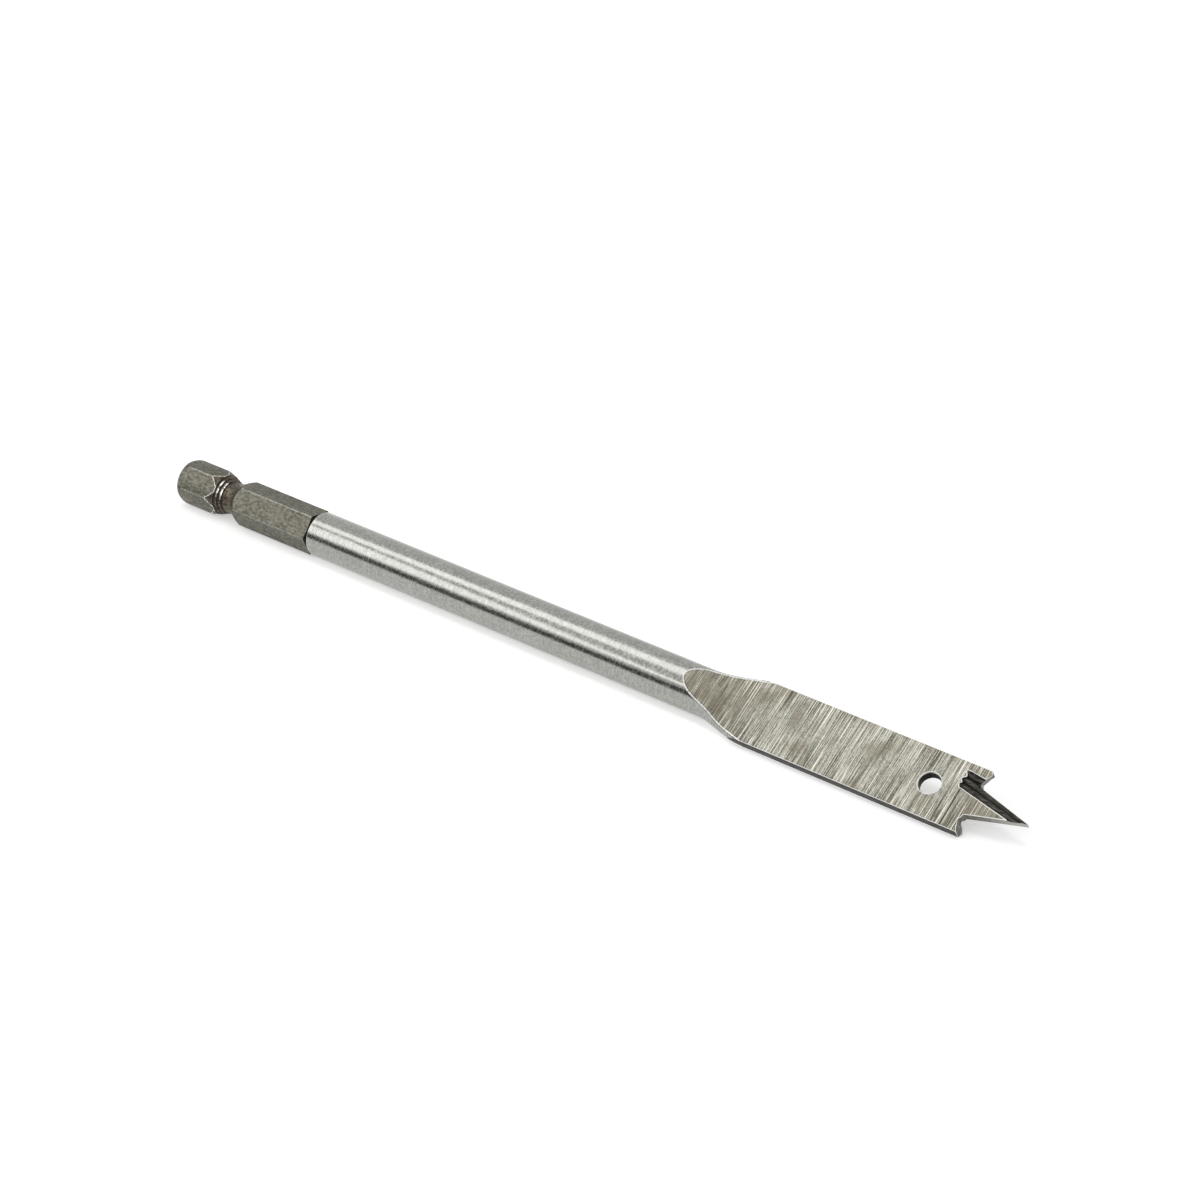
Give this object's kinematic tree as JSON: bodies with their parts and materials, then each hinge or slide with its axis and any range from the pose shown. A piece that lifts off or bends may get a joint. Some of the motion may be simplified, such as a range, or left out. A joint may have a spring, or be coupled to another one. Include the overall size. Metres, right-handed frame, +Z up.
{
  "type": "spade drill bit",
  "caption": "Spade drill bit for wood: hexagon quick-change shank, round shaft, flat forged blade with a hole, hollow-ground cutting lips, spurs and a long centre point.",
  "frame": {"origin": "on the surface that the bit lies on, under the middle of its length, with the axis of the shaft above it", "axes": "+X along the shaft towards the point, +Z up; the blade is rolled on to its near edge, towards -Y"},
  "size_m": [0.152, 0.0092, 0.007],
  "materials": {
    "ground_steel": "ground and milled bare steel, with a darker heat-treated shank"
  },
  "bodies": {
    "root": {"spade_bit": "ground_steel"}
  },
  "joints": []
}
